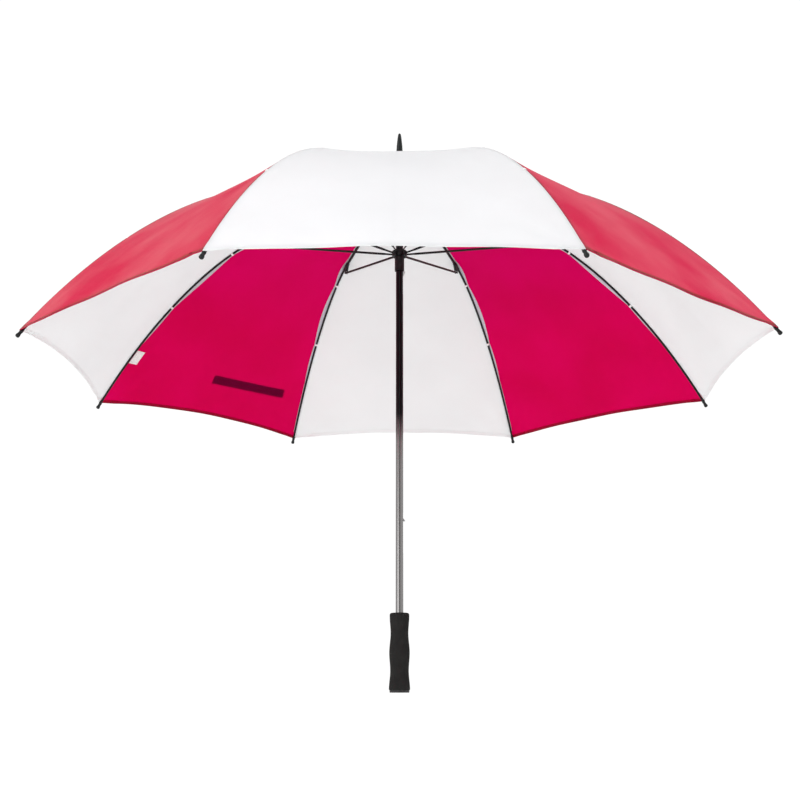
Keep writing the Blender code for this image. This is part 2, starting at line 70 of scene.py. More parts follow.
RIB_COUNT = 8
HALF_STEP = math.pi / RIB_COUNT
RIBS = range(1, RIB_COUNT + 1)

# The ribs' bends, as in the CAD source
INNER_SLOPES = (math.radians(2.5), math.radians(16.5))
INNER_LENGTH = 0.28898
OUTER_SLOPES = (math.radians(10.2), math.radians(55.36))
OUTER_LENGTH = 0.4740
OUTER_BEND_POWER = 0.5
RIB_LENGTH = INNER_LENGTH + OUTER_LENGTH
HINGE_SHARE = INNER_LENGTH / RIB_LENGTH
RIB_STEPS = 48
OUTER_RIB_RADIUS = 0.0020
TIP_LENGTH = 0.017
SLEEVE_LENGTH = 0.010           # of the joint sleeve beyond the joint

# The cloth
CROWN_SHARE = 0.0010 / RIB_LENGTH
HEM_SHARE = 0.985
HEM_SCALLOPS = (0.012, -0.010, 0.018, 0.014, 0.018, 0.024, 0.024, 0.009)    # gore 1 to 8, as they hang
CLOTH_SAG = 0.007
CLOTH_THICKNESS = 0.0004
ROD_LIFT = 0.0029               # cloth's underside above the rib's axis, and what is added on top
NOTCH_LIFT = 0.0029
COLLAR_LIFT = 0.0022
CAP_LIFT = 0.0012
OUTER_ROD_DROP = 0.0004
HINGE_CLOTH_SLOPE = math.radians(18)    # of the cloth over the ribs' joint
HEM_WIDTH = 0.007
HEM_LAYER = (-0.00085, -0.00035)    # heights of the turned-in edge, under the cloth
STITCH_PITCH = 0.0050
STITCH_INSET = 0.0016
STITCH_WIDTH = 0.0006
UNDER_STITCH = (-0.00115, -0.00090)
OVER_STITCH = (CLOTH_THICKNESS + 0.00008, CLOTH_THICKNESS + 0.00028)
RIPPLE_FAN = 0.0016             # heights of the folds: at the tips, at the hem, and all over
RIPPLE_HEM = 0.0009
RIPPLE_CLOUD = 0.0011

# The seams
TIE_RADII = (0.352, 0.485)      # where white thread ties the seams to the ribs
TIE_TURNS = (-1.5, -0.5, 0.5, 1.5)
TIE_PITCH = 0.0011
TIE_THREAD = 0.00055
SEAM_LAYER = (-0.0010, -0.0007)
SEAM_START = 0.0006             # gap between the seam allowance and the rib's middle
SEAM_ENDS = (0.05, 0.962)
SEAM_SLACK_END = 0.80
SEAM_WIDTH = 0.0048
SEAM_NARROWING = 0.0014
SEAM_BULGES = (0.0040, 0.0058, 0.0022)      # how far the seam allowance stands out between ties

# The strap and the label, both on gore 6
STRAP_SHARES = (0.8385, 0.864)
STRAP_ACROSSES = (-0.757, 0.075)
STRAP_LAYER = (CLOTH_THICKNESS * 0.25, CLOTH_THICKNESS + 0.0013)
LABEL_SHARES = (0.817, 0.857)
LABEL_ACROSSES = (0.905, 0.985)
LABEL_LAYER = (-0.0021, -0.0016)

# The grip's three swells, as in the CAD source
GRIP_SWELLS = (0.0178, 0.0166)
GRIP_WAIST_DEPTH = 0.0019
GRIP_ROUNDING = 0.0035


# ---------------------------------------------------------------- materials

WAVE_UNITS = 20         # a wave texture of scale 1 has a band every 2 pi / 20


class Shader:
    """A material with its Principled shader and short ways to add nodes."""

    def __init__(self, name, color, roughness, metallic=0.0):
        self.material = bpy.data.materials.new(name)
        self.material.use_nodes = True
        self.tree = self.material.node_tree
        self.main = self.tree.nodes["Principled BSDF"]
        self.output = self.tree.nodes["Material Output"]
        self.main.inputs["Base Color"].default_value = (*color, 1.0)
        self.main.inputs["Roughness"].default_value = roughness
        self.main.inputs["Metallic"].default_value = metallic
        self.material.diffuse_color = (*color, 1.0)

    def node(self, kind, values=None, **settings):
        made = self.tree.nodes.new(kind)
        for name, value in settings.items():
            setattr(made, name, value)
        for name, value in (values or {}).items():
            made.inputs[name].default_value = value
        return made

    def link(self, source, target):
        self.tree.links.new(source, target)

    def coordinates(self, kind, scale):
        place = self.node("ShaderNodeTexCoord")
        mapping = self.node("ShaderNodeMapping", {"Scale": scale})
        self.link(place.outputs[kind], mapping.inputs["Vector"])
        return mapping.outputs["Vector"]

    def place(self):
        return self.coordinates("Object", (1, 1, 1))

    def height(self):
        """Height of the shaded point on its piece, above the floor at rest."""
        split = self.node("ShaderNodeSeparateXYZ")
        self.link(self.place(), split.inputs["Vector"])
        return split.outputs["Z"]

    def noise(self, vector, scale, detail=2.0, roughness=0.5):
        values = {"Scale": scale, "Detail": detail, "Roughness": roughness}
        made = self.node("ShaderNodeTexNoise", values)
        self.link(vector, made.inputs["Vector"])
        return made.outputs["Fac"]

    def wave(self, vector, direction, spacing):
        """Straight bands, a spacing in metres apart."""
        scale = 2 * math.pi / WAVE_UNITS / spacing
        made = self.node("ShaderNodeTexWave", {"Scale": scale}, bands_direction=direction)
        self.link(vector, made.inputs["Vector"])
        return made.outputs["Fac"]

    def ramp(self, value, dark, light, low=0.3, high=0.7):
        made = self.node("ShaderNodeValToRGB")
        stops = made.color_ramp.elements
        stops[0].position, stops[0].color = low, (*dark, 1.0)
        stops[1].position, stops[1].color = high, (*light, 1.0)
        self.link(value, made.inputs["Fac"])
        return made.outputs["Color"]

    def spread(self, value, low, high):
        made = self.node("ShaderNodeMapRange", {"To Min": low, "To Max": high})
        self.link(value, made.inputs["Value"])
        return made.outputs["Result"]

    def add(self, first, second, operation="ADD"):
        made = self.node("ShaderNodeMath", operation=operation)
        self.link(first, made.inputs[0])
        self.link(second, made.inputs[1])
        return made.outputs["Value"]

    def paint_sheen_and_mottle(self, color, sheen_and_mottle_tint, cloud):
        """Mix a colour with a greyish tint: more towards the crown, as painted sheen, and in random
        cloudy patches.
        """
        # painted sheen: the greyish tint rises with height, towards the crown
        rise = self.node("ShaderNodeMapRange", {"From Min": 0.72, "From Max": 0.90, "To Max": 0.95})
        self.link(self.height(), rise.inputs["Value"])
        mix = self.node("ShaderNodeMix", data_type="RGBA")
        share = self.add(rise.outputs["Result"], self.spread(cloud, -0.42, 0.85))
        self.link(share, mix.inputs["Factor"])
        self.link(color, mix.inputs["A"])
        mix.inputs["B"].default_value = (*sheen_and_mottle_tint, 1.0)
        return mix.outputs["Result"]

    def bump(self, height, strength, distance, before=None):
        made = self.node("ShaderNodeBump", {"Strength": strength, "Distance": distance})
        self.link(height, made.inputs["Height"])
        if before:
            self.link(before, made.inputs["Normal"])
        return made.outputs["Normal"]

    def paint(self, tone, color, dark, light, low=0.3, high=0.7):
        """Base colour between a darker and a lighter shade, by a tone from 0 to 1."""
        ramp = self.ramp(tone, scaled(color, dark), scaled(color, light), low, high)
        self.link(ramp, self.main.inputs["Base Color"])

    def gloss(self, tone, low, high):
        self.link(self.spread(tone, low, high), self.main.inputs["Roughness"])

    def relief(self, height, strength, distance, before=None):
        self.link(self.bump(height, strength, distance, before), self.main.inputs["Normal"])

    def set(self, **values):
        """Plain values of the main shader's sockets; underscores stand for spaces."""
        for name, value in values.items():
            self.main.inputs[name.replace("_", " ")].default_value = value


def scaled(color, factor):
    return tuple(min(1.0, part * factor) for part in color)


def cloth(name, color, glow, glow_share, roughness, sheen, cloud_depth=1.0, sheen_and_mottle_tint=None):
    """Plain-weave nylon: a diffuse face over light that comes through the threads.

    A cloth given a greyish tint turns from its color at the hem to that tint towards the crown, as
    painted sheen, and takes it in random patches too.
    """
    thread = 0.0005
    shader = Shader(name, color, roughness)
    shader.set(Sheen_Weight=sheen, Sheen_Roughness=0.35, Specular_IOR_Level=0.12)
    uv = shader.coordinates("UV", (1, 1, 1))
    weave = shader.add(shader.wave(uv, "X", thread), shader.wave(uv, "Y", thread), "MULTIPLY")
    place = shader.place()
    cloud = shader.noise(place, 7.0, 3.0)
    crease = shader.noise(place, 38.0, 4.0, 0.55)
    # painted shade: the tone is darker between the weave's threads; the cloud part is random
    tone = shader.add(shader.spread(cloud, 0.0, 0.75), shader.spread(weave, 0.0, 0.25))
    dark, light = 1 - 0.08 * cloud_depth, 1 + 0.05 * cloud_depth
    face = shader.ramp(tone, scaled(color, dark), scaled(color, light))
    # painted sheen towards the crown, with random cloudy patches
    if sheen_and_mottle_tint:
        face = shader.paint_sheen_and_mottle(face, sheen_and_mottle_tint, cloud)
    shader.link(face, shader.main.inputs["Base Color"])
    soft = shader.bump(crease, 0.10, 0.004)
    normal = shader.bump(weave, 0.25, thread * 0.3, soft)
    shader.link(normal, shader.main.inputs["Normal"])
    through = shader.node("ShaderNodeBsdfTranslucent")
    shader.link(shader.ramp(tone, scaled(glow, dark), scaled(glow, light)), through.inputs["Color"])
    shader.link(normal, through.inputs["Normal"])
    mix = shader.node("ShaderNodeMixShader", {"Fac": glow_share})
    shader.link(shader.main.outputs["BSDF"], mix.inputs[1])
    shader.link(through.outputs["BSDF"], mix.inputs[2])
    shader.link(mix.outputs["Shader"], shader.output.inputs["Surface"])
    return shader.material


def brushed_metal(name, color, roughness):
    shader = Shader(name, color, roughness, 1.0)
    grain = shader.noise(shader.coordinates("Object", (500, 500, 6)), 1.0, 4.0, 0.6)
    blotch = shader.noise(shader.place(), 30.0, 3.0)
    tone = shader.add(shader.spread(grain, 0.0, 0.6), shader.spread(blotch, 0.0, 0.4))
    shader.paint(tone, color, 0.85, 1.12)
    shader.gloss(grain, roughness - 0.06, roughness + 0.10)
    shader.relief(grain, 0.12, 0.0002)
    return shader.material


def shaft_metal(name, dark, light, roughness):
    """Gunmetal plating with painted shade: near black under the canopy and lighter towards the grip;
    the dark end's faint cyan tint is painted to offset red light reflected from the canopy.
    """
    shader = Shader(name, light, roughness, 1.0)
    # painted shade: the base colour turns near black above 0.425 to 0.475 m, under the canopy
    painted_canopy_shade = shader.node("ShaderNodeMapRange", {"From Min": 0.475, "From Max": 0.425})
    shader.link(shader.height(), painted_canopy_shade.inputs["Value"])
    ramp = shader.ramp(painted_canopy_shade.outputs["Result"], dark, light, 0.0, 1.0)
    shader.link(ramp, shader.main.inputs["Base Color"])
    grain = shader.noise(shader.coordinates("Object", (600, 600, 5)), 1.0, 4.0, 0.6)
    shader.gloss(grain, roughness - 0.05, roughness + 0.09)
    shader.relief(grain, 0.10, 0.0002)
    return shader.material


def moulded(name, color, roughness):
    """Injection-moulded plastic: a fine eggshell grain and slightly uneven gloss."""
    shader = Shader(name, color, roughness)
    shader.set(Specular_IOR_Level=0.25)
    place = shader.place()
    cloud = shader.noise(place, 45.0, 3.0)
    shader.paint(cloud, color, 0.8, 1.35)
    shader.gloss(cloud, roughness - 0.06, roughness + 0.08)
    shader.relief(shader.noise(place, 700.0, 2.0), 0.10, 0.0003)
    return shader.material


def pultruded(name, color, roughness):
    """Fibreglass rod, with slightly uneven colour and gloss."""
    shader = Shader(name, color, roughness)
    shader.set(Specular_IOR_Level=0.22)
    streak = shader.noise(shader.place(), 260.0, 5.0, 0.7)
    shader.paint(streak, color, 0.7, 1.6)
    shader.gloss(streak, roughness - 0.08, roughness + 0.12)
    shader.relief(streak, 0.15, 0.0002)
    return shader.material


def foam(name, color):
    """Closed-cell foam: small open pores and a dull, dusty face."""
    shader = Shader(name, color, 0.92)
    shader.set(Specular_IOR_Level=0.06)
    place = shader.place()
    cells = shader.node("ShaderNodeTexVoronoi", {"Scale": 1100.0})
    shader.link(place, cells.inputs["Vector"])
    pores = cells.outputs["Distance"]
    cloud = shader.noise(place, 60.0, 4.0)
    # painted shade: darker in the pores' hollows, by the relief's own pattern; the cloud part is random
    tone = shader.add(shader.spread(pores, 0.0, 0.5), shader.spread(cloud, 0.0, 0.5))
    shader.paint(tone, color, 0.7, 1.45)
    shader.relief(pores, 0.45, 0.0004, shader.bump(cloud, 0.15, 0.001))
    return shader.material


def webbing(name, color, rib=0.0011, contrast=1.0):
    """Narrow woven tape: ribs across it and a matte face."""
    shader = Shader(name, color, 0.85)
    shader.set(Sheen_Weight=0.15)
    uv = shader.coordinates("UV", (1, 1, 1))
    ridge = shader.wave(uv, "X", rib)
    thread = shader.wave(uv, "Y", rib / 2)
    height = shader.add(ridge, shader.spread(thread, 0.0, 0.4))
    # painted shade: the tape is darker in the grooves between its ribs and threads, by the relief's own
    # height
    shader.paint(height, color, 1 - 0.4 * contrast, 1 + 0.5 * contrast, 0.2, 1.0)
    shader.relief(height, 0.5, 0.0004)
    return shader.material


# the outer red's greyish tint towards the crown is painted sheen
RED_OUT = cloth(
    "red_cloth_outside", color=(0.55, 0.022, 0.030), glow=(0.92, 0.012, 0.21), glow_share=0.66,
    roughness=0.42, sheen=0.06, sheen_and_mottle_tint=(0.38, 0.53, 0.42))
RED_IN = cloth(
    "red_cloth_inside", color=(0.42, 0.0005, 0.08), glow=(1.0, 0.001, 0.52), glow_share=0.86,
    roughness=0.55, sheen=0.0)
RED_HEM = cloth(
    "red_cloth_hem", color=(0.36, 0.001, 0.05), glow=(0.80, 0.001, 0.26), glow_share=0.66,
    roughness=0.55, sheen=0.0)
WHITE_OUT = cloth(
    "white_cloth_outside", color=(0.90, 0.90, 0.915), glow=(0.92, 0.94, 0.95), glow_share=0.35,
    roughness=0.45, sheen=0.02, cloud_depth=0.3)
# its faint green-cyan tint is painted to offset red light reflected from the red gores
WHITE_IN = cloth(
    "white_cloth_inside", color=(0.88, 0.91, 0.90), glow=(0.93, 0.96, 0.96), glow_share=0.50,
    roughness=0.55, sheen=0.0, cloud_depth=0.3)
WHITE_HEM = cloth(
    "white_cloth_hem", color=(0.92, 0.94, 0.94), glow=(0.97, 0.98, 0.98), glow_share=0.45,
    roughness=0.55, sheen=0.0, cloud_depth=0.3)
SEAM_TAPE = cloth(
    "seam_allowance_cloth", color=(0.60, 0.61, 0.66), glow=(0.6, 0.6, 0.64), glow_share=0.20,
    roughness=0.6, sheen=0.0)
# the red gores' hem stitches: real thread, whose near-black colour also stands for the shade along the
# hem's fold, as painted shade
DARK_THREAD = webbing("dark_thread", (0.05, 0.006, 0.012), 0.0006, 0.5)
WHITE_THREAD = webbing("white_thread", (0.90, 0.90, 0.90), 0.0006, 0.15)
# satin gunmetal with painted shade: near black under the canopy, lighter towards the grip
GUNMETAL_PAINTED_SHADE = shaft_metal("satin_gunmetal_painted_shade", (0.016, 0.020, 0.021), (0.19, 0.184, 0.183), 0.23)
SPRING_STEEL = brushed_metal("spring_steel", (0.55, 0.55, 0.56), 0.28)
BLACK_PLASTIC = moulded("black_moulded_plastic", (0.006, 0.008, 0.0085), 0.45)
CAP_PLASTIC = moulded("grip_cap_plastic", (0.020, 0.020, 0.020), 0.55)
FIBREGLASS = pultruded("black_fibreglass", (0.005, 0.005, 0.0055), 0.42)
STRUT_PAINT = pultruded("stretcher_black_paint", (0.004, 0.006, 0.0065), 0.50)
FOAM = foam("black_grip_foam", (0.0165, 0.0165, 0.016))
STRAP_TAPE = webbing("maroon_strap_webbing", (0.028, 0.009, 0.006))
LABEL_CLOTH = webbing("white_label_cloth", (0.80, 0.80, 0.77), 0.0007)


# ---------------------------------------------------------------- shapes

def smooth(value, low, high):
    """0 below low, 1 above high, and an even rise between."""
    part = min(1.0, max(0.0, (value - low) / (high - low)))
    return part * part * (3 - 2 * part)


def polar(point):
    return math.hypot(point[0], point[1]), point[2]


def bent_rod(start, slopes, length, power):
    """Points (radius, z, slope) along a rod whose slope below level grows along its length."""
    radius, z = start
    first, last = slopes
    points = []
    for k in range(RIB_STEPS + 1):
        points.append((radius, z, first + (last - first) * (k / RIB_STEPS) ** power))
        middle = first + (last - first) * ((k + 0.5) / RIB_STEPS) ** power
        radius += math.cos(middle) * length / RIB_STEPS
        z -= math.sin(middle) * length / RIB_STEPS
    return points


CROWN = polar(JOINTS["rib_1_fold"]["pos_m"])
HINGE = polar(JOINTS["rib_1_flex"]["pos_m"])
INNER_CURVE = bent_rod(CROWN, INNER_SLOPES, INNER_LENGTH, 1.0)
OUTER_CURVE = bent_rod(HINGE, OUTER_SLOPES, OUTER_LENGTH, OUTER_BEND_POWER)


def on_curve(points, part):
    """Radius, height and slope at a part, from 0 to 1, of one curve."""
    place = part * RIB_STEPS
    k = min(int(place), RIB_STEPS - 1)
    return [a + (b - a) * (place - k) for a, b in zip(points[k], points[k + 1])]


def along_rib(share):
    if share < HINGE_SHARE:
        return on_curve(INNER_CURVE, share / HINGE_SHARE)
    return on_curve(OUTER_CURVE, (share - HINGE_SHARE) / (1 - HINGE_SHARE))


def share_at(radius):
    """Share of the rib at a radius from the shaft."""
    low, high = 0.0, 1.0
    for _ in range(30):
        middle = (low + high) / 2
        if along_rib(middle)[0] < radius:
            low = middle
        else:
            high = middle
    return low


def out_direction(number):
    """Level direction from the shaft along a rib."""
    x, y, _ = JOINTS[f"rib_{(number - 1) % RIB_COUNT + 1}_fold"]["pos_m"]
    return Vector((x, y, 0)).normalized()


def cloth_lift(share):
    """The cloth's underside above the rib's axis, clear of the notch, rod, collar and cap."""
    notch = NOTCH_LIFT * (1 - smooth(share, 0.012, 0.06))
    collar = COLLAR_LIFT * math.exp(-(((share - HINGE_SHARE + 0.004) / 0.035) ** 2))
    thinner = OUTER_ROD_DROP * smooth(share, HINGE_SHARE, HINGE_SHARE + 0.06)
    cap = CAP_LIFT * smooth(share, 0.955, 0.975)
    return ROD_LIFT + notch + collar - thinner + cap


def cloth_line(share, height):
    """Radius and z of the cloth over a rib, at a height above its underside."""
    radius, z, slope = along_rib(share)
    near_hinge = max(0.0, 1 - abs(share - HINGE_SHARE) / 0.05)
    slope += (HINGE_CLOTH_SLOPE - slope) * near_hinge
    offset = cloth_lift(share) + height
    return radius + offset * math.sin(slope), z + offset * math.cos(slope)


def hem_share(gore, across):
    """Where the hem of a gore lies: its middle is drawn up, or hangs down where it is slack."""
    return HEM_SHARE - HEM_SCALLOPS[gore - 1] * (1 - across ** 2)


def ripple(gore, share, across):
    """Small tension folds: a fan from each rib tip, a slack hem and faint cloudiness."""
    half = along_rib(share)[0] * math.sin(HALF_STEP)
    total = 0.0
    for side in (-1, 1):
        sideways = (1 - side * across) * half
        inward = (HEM_SHARE + 0.01 - share) * RIB_LENGTH
        distance = math.hypot(sideways, inward)
        angle = math.atan2(sideways, inward)
        fan = math.sin(11 * angle + 1.7 * gore + side)
        total += RIPPLE_FAN * fan * math.exp(-distance / 0.10) * smooth(distance, 0.008, 0.04)
    slack = math.exp(-(hem_share(gore, across) - share) * RIB_LENGTH / 0.035)
    edge = 1 - across ** 2
    total += RIPPLE_HEM * slack * edge * math.sin(9.0 * across + 2.3 * gore)
    spot = Vector((across * half * 9, share * 6, gore * 5.3))
    total += RIPPLE_CLOUD * noise.noise(spot) * edge * smooth(share, 0.1, 0.3)
    return total


def cloth_point(gore, share, across, height=0.0):
    """Point on a gore, a height above the cloth's underside."""
    radius, z = cloth_line(share, height + ripple(gore, share, across))
    first, second = out_direction(gore) * radius, out_direction(gore + 1) * radius
    point = first.lerp(second, (across + 1) / 2)
    seam_pull = 1 - abs(across) ** 3
    point.z = z - CLOTH_SAG * seam_pull * math.sin(math.pi * min(1.0, share)) ** 2
    return point


def cloth_uv(share, across):
    half = along_rib(share)[0] * math.sin(HALF_STEP)
    return across * half, share * RIB_LENGTH


class Sheet:
    """Collects closed thin patches, given by grids of (share, across), into one mesh."""

    def __init__(self, gore):
        self.gore = gore
        self.shape = bmesh.new()
        self.uv = self.shape.loops.layers.uv.new("UVMap")
        self.places = {}

    def point(self, share, across, height):
        vertex = self.shape.verts.new(cloth_point(self.gore, share, across, height))
        self.places[vertex] = cloth_uv(share, across)
        return vertex

    def face(self, corners, slot):
        made = self.shape.faces.new(corners)
        made.material_index = slot
        for loop in made.loops:
            loop[self.uv].uv = self.places[loop.vert]

    def patch(self, grid, low, high, under_slot, over_slot):
        """A closed patch between two heights; grid rows run away from the crown."""
        under = [[self.point(s, a, low) for s, a in row] for row in grid]
        over = [[self.point(s, a, high) for s, a in row] for row in grid]
        rows, columns = len(grid) - 1, len(grid[0]) - 1
        for r in range(rows):
            for c in range(columns):
                corners = [(r, c), (r, c + 1), (r + 1, c + 1), (r + 1, c)]
                self.face([under[i][j] for i, j in corners], under_slot)
                self.face([over[i][j] for i, j in corners[:1] + corners[:0:-1]], over_slot)
        rim = [(0, c) for c in range(columns)] + [(r, columns) for r in range(rows)]
        rim += [(rows, c) for c in range(columns, 0, -1)] + [(r, 0) for r in range(rows, 0, -1)]
        for (r0, c0), (r1, c1) in zip(rim, rim[1:] + rim[:1]):
            self.face((under[r1][c1], under[r0][c0], over[r0][c0], over[r1][c1]), under_slot)

    def finish(self, name, materials):
        return to_object(name, self.shape, materials)


def to_object(name, shape, materials, sharp=50):
    bmesh.ops.recalc_face_normals(shape, faces=shape.faces)
    mesh = bpy.data.meshes.new(name)
    shape.to_mesh(mesh)
    shape.free()
    mesh.shade_smooth()
    mesh.set_sharp_from_angle(angle=math.radians(sharp))
    for material in materials:
        mesh.materials.append(material)
    piece = bpy.data.objects.new(name, mesh)
    bpy.context.scene.collection.objects.link(piece)
    return piece


def cloth_materials(gore):
    if gore % 2 == 0:
        return [RED_IN, RED_OUT, RED_HEM, DARK_THREAD]
    return [WHITE_IN, WHITE_OUT, WHITE_HEM, WHITE_THREAD]


def spaced(first, last, count):
    return [first + (last - first) * k / count for k in range(count + 1)]


def half_gore(gore, side, outer):
    """Half a gore on the side of one rib, inside or outside the flexing joint."""
    sheet = Sheet(gore)
    acrosses = spaced(side, 0.0, 24)
    if side > 0:
        acrosses.reverse()
    first = HINGE_SHARE if outer else CROWN_SHARE
    grid = []
    for part in spaced(0.0, 1.0, 40 if outer else 24):
        row = []
        for across in acrosses:
            last = hem_share(gore, across) if outer else HINGE_SHARE
            row.append((first + (last - first) * part, across))
        grid.append(row)
    sheet.patch(grid, 0.0, CLOTH_THICKNESS, 0, 1)
    if outer:
        add_hem(sheet, acrosses)
    part_name = "outer" if outer else "inner"
    rib = rib_of(gore, side)
    return sheet.finish(f"cloth_{gore}_{part_name}_by_rib_{rib}", cloth_materials(gore))


def add_hem(sheet, acrosses):
    """The turned-in edge on the inside, and its row of stitches on both faces."""
    width = HEM_WIDTH / RIB_LENGTH
    grid = []
    for back in spaced(1.0, 0.0, 3):
        grid.append([(hem_share(sheet.gore, a) - width * back - 0.0002, a) for a in acrosses])
    sheet.patch(grid, *HEM_LAYER, 2, 2)
    first, last = min(acrosses), max(acrosses)
    pitch = STITCH_PITCH / (along_rib(0.96)[0] * math.sin(HALF_STEP))
    inset = STITCH_INSET / RIB_LENGTH
    for k in range(int((last - first) / pitch)):
        start = first + (k + 0.12) * pitch
        dash = spaced(start, start + pitch * 0.78, 2)
        rows = []
        for back in (STITCH_WIDTH / RIB_LENGTH, 0.0):
            rows.append([(hem_share(sheet.gore, a) - inset - back, a) for a in dash])
        sheet.patch(rows, *UNDER_STITCH, 3, 3)
        sheet.patch(rows, *OVER_STITCH, 3, 3)


def rib_of(gore, side):
    number = gore if side < 0 else gore + 1
    return (number - 1) % RIB_COUNT + 1


def gather(piece):
    """Give the piece its own copy of its mesh."""
    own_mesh(piece)


def make_cloth():
    for gore in RIBS:
        for side in (-1, 1):
            rib = rib_of(gore, side)
            for outer in (False, True):
                piece = half_gore(gore, side, outer)
                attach(piece, f"outer_{rib}" if outer else f"inner_{rib}")
                if outer and side < 0:
                    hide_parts(f"panel_{gore}")
                gather(piece)


def red_side(rib):
    """The red gore beside a rib, and which of its sides the rib is on."""
    if rib % 2 == 0:
        return rib, -1
    return (rib - 2) % RIB_COUNT + 1, 1


def seam_width(share):
    """The seam allowance is pulled narrow at each tie and stands out between them."""
    ties = [HINGE_SHARE - 0.02] + [share_at(radius) for radius in TIE_RADII] + [SEAM_SLACK_END]
    width = SEAM_WIDTH - SEAM_NARROWING * smooth(share, ties[-2], ties[-1])
    for low, high, bulge in zip(ties, ties[1:], SEAM_BULGES):
        if low < share < high:
            width += bulge * math.sin(math.pi * (share - low) / (high - low))
    return width


def make_seams():
    """Turned-over seam allowance under the cloth, on the red side of every rib."""
    for rib in RIBS:
        gore, side = red_side(rib)
        for outer in (False, True):
            first, last = (HINGE_SHARE, SEAM_ENDS[1]) if outer else (SEAM_ENDS[0], HINGE_SHARE)
            sheet = Sheet(gore)
            grid = []
            widths = []
            for share in spaced(first, last, 40):
                half = along_rib(share)[0] * math.sin(HALF_STEP)
                widths.append(seam_width(share))
                edges = spaced(SEAM_START, min(widths[-1], half * 0.5), 2)
                grid.append([(share, side * (1 - edge / half)) for edge in edges])
            sheet.patch(grid, *SEAM_LAYER, 0, 0)
            part_name = "outer" if outer else "inner"
            piece = sheet.finish(f"seam_allowance_{rib}_{part_name}", [SEAM_TAPE])
            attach(piece, f"{part_name}_{rib}")


def skin(shape, rings):
    """Faces between rings of vertices, and flat ends."""
    count = len(rings[0])
    for low, high in zip(rings, rings[1:]):
        for n in range(count):
            nxt = (n + 1) % count
            shape.faces.new((low[n], low[nxt], high[nxt], high[n]))
    shape.faces.new(list(reversed(rings[0])))
    shape.faces.new(rings[-1])
    return shape


def tube(path, radii, sides=14):
    """Closed tube of round sections along points in space; flat ends."""
    shape = bmesh.new()
    rings = []
    for k, point in enumerate(path):
        before, after = path[max(0, k - 1)], path[min(len(path) - 1, k + 1)]
        along = (after - before).normalized()
        level = along.cross(Vector((0, 0, 1)))
        level = level.normalized() if level.length > 1e-6 else Vector((1, 0, 0))
        up = level.cross(along)
        ring = []
        for n in range(sides):
            angle = 2 * math.pi * n / sides
            offset = (level * math.cos(angle) + up * math.sin(angle)) * radii[k]
            ring.append(shape.verts.new(point + offset))
        rings.append(ring)
    return skin(shape, rings)


def rib_points(rib, first, last, count):
    """Points on the rib's axis between two shares."""
    out = out_direction(rib)
    found = []
    for share in spaced(first, last, count):
        radius, z, _ = along_rib(share)
        found.append(out * radius + Vector((0, 0, z)))
    return found


def make_outer_ribs():
    for rib in RIBS:
        first = HINGE_SHARE + 0.0004 / RIB_LENGTH
        path = rib_points(rib, first, 1 - 0.006 / RIB_LENGTH, 64)
        piece = to_object(f"sprung_rib_{rib}", tube(path, [OUTER_RIB_RADIUS] * len(path)), [FIBREGLASS])
        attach(piece, f"outer_{rib}")
        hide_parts(f"outer_rib_{rib}")


def make_joint_sleeves():
    """Flexible sleeve over the joint of the inner and outer rib."""
    reach = SLEEVE_LENGTH / RIB_LENGTH
    profile = [
        (0.0, 0.0024), (0.03, 0.0029), (0.10, 0.0031),
        (0.90, 0.0031), (0.97, 0.0029), (1.0, 0.0020),
    ]
    for rib in RIBS:
        parts = spaced(0.0, 1.0, 20)
        path = rib_points(rib, HINGE_SHARE - reach * 0.30, HINGE_SHARE + reach, 20)
        radii = []
        for part in parts:
            for (p0, r0), (p1, r1) in zip(profile, profile[1:]):
                if p0 <= part <= p1:
                    radius = r0 + (r1 - r0) * (part - p0) / (p1 - p0)
            radii.append(radius)
        piece = to_object(f"joint_sleeve_{rib}", tube(path, radii, 16), [BLACK_PLASTIC])
        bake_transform(piece)


def make_tips():
    """Moulded cap on each rib end: a ribbed socket, a waist and a ball end."""
    profile = [
        (0.000, 0.0023), (0.0006, 0.0027), (0.004, 0.0028), (0.0046, 0.0031), (0.0056, 0.0031),
        (0.0062, 0.0028), (0.0090, 0.0027), (0.0110, 0.0030), (0.0125, 0.0035), (0.0145, 0.0036),
        (0.0158, 0.0033), (0.0167, 0.0023), (0.0170, 0.0012),
    ]
    for rib in RIBS:
        radius, z, slope = along_rib(1.0)
        out = out_direction(rib)
        ahead = out * math.cos(slope) - Vector((0, 0, math.sin(slope)))
        end = out * radius + Vector((0, 0, z))
        path = [end - ahead * (TIP_LENGTH - distance) for distance, _ in profile]
        radii = [r for _, r in profile]
        piece = to_object(f"rib_end_cap_{rib}", tube(path, radii, 20), [BLACK_PLASTIC])
        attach(piece, f"outer_{rib}")
        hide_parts(f"rib_tip_{rib}")


def loop_of_thread(shape, centre, along, up):
    """A closed oval loop of thread round a rib, added to a mesh."""
    width, height = OUTER_RIB_RADIUS + 0.0008, OUTER_RIB_RADIUS + 0.0010
    side = along.cross(up)
    rings = []
    steps, sides = 20, 6
    for k in range(steps):
        angle = 2 * math.pi * k / steps
        outward = side * math.cos(angle) * width + up * math.sin(angle) * height
        middle = centre + outward
        direction = outward.normalized()
        ring = []
        for n in range(sides):
            turn = 2 * math.pi * n / sides
            offset = (direction * math.cos(turn) + along * math.sin(turn)) * TIE_THREAD
            ring.append(shape.verts.new(middle + offset))
        rings.append(ring)
    for k in range(steps):
        here, after = rings[k], rings[(k + 1) % steps]
        for n in range(sides):
            nxt = (n + 1) % sides
            shape.faces.new((here[n], here[nxt], after[nxt], after[n]))


